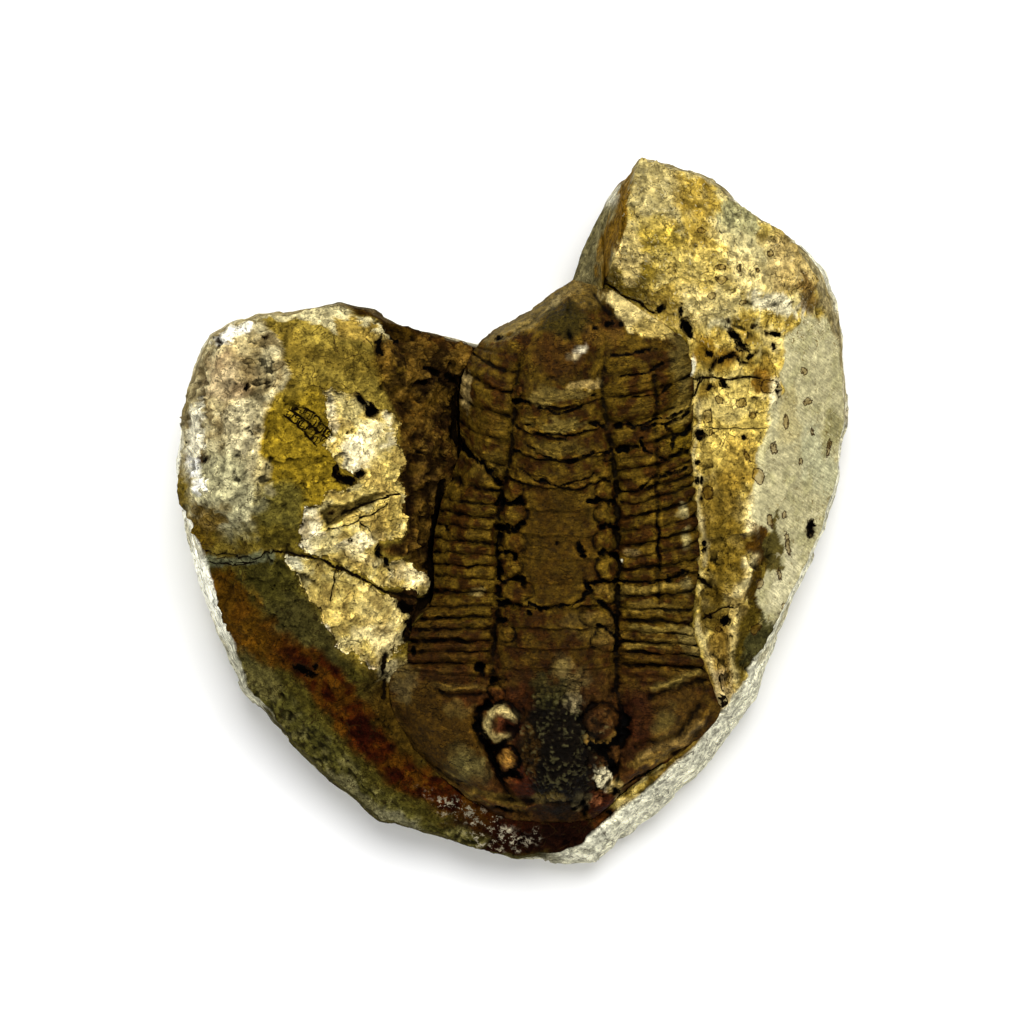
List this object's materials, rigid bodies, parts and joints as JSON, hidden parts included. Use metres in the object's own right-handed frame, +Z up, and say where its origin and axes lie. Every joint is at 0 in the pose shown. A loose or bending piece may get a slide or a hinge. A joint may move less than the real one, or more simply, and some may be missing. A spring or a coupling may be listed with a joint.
{
  "type": "trilobite fossil in matrix",
  "caption": "Trilobite fossil lying belly down in a heart-shaped block of dolomite, its ringed back and head exposed, on a flat base.",
  "frame": {"origin": "centre of the bounding box at the flat base of the stone", "axes": "+Z up out of the exposed face, +Y from the animal's head towards its tail, +X across the animal to the sawn side"},
  "size_m": [0.0672, 0.0705, 0.0268],
  "materials": {
    "dolomite": "weathered, iron stained, matt",
    "fossil_stone": "dark brown, worn, faint sheen"
  },
  "bodies": {
    "root": {"matrix": "dolomite", "trilobite": "fossil_stone"}
  },
  "joints": []
}
